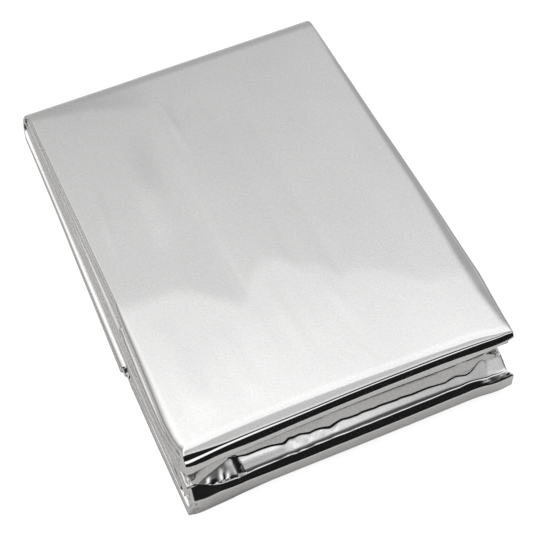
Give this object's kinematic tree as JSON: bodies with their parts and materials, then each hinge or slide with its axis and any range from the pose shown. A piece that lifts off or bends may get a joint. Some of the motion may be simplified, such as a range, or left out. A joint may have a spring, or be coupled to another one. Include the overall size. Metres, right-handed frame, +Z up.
{
  "type": "folded emergency foil blanket",
  "caption": "Silver film emergency blanket, folded into a flat wedge-shaped pack with a tight spine and two soft folds at the front.",
  "frame": {"origin": "middle of the bounding box, on the surface that the pack lies on", "axes": "+Y from the two soft front folds to the spine at the back, +Z up, +X along the front edge to the right as seen from the front"},
  "size_m": [0.0926, 0.1348, 0.0209],
  "materials": {
    "silver_film": "bright vapour-coated film, softly creased"
  },
  "bodies": {
    "root": {"foil_blanket": "silver_film"}
  },
  "joints": []
}
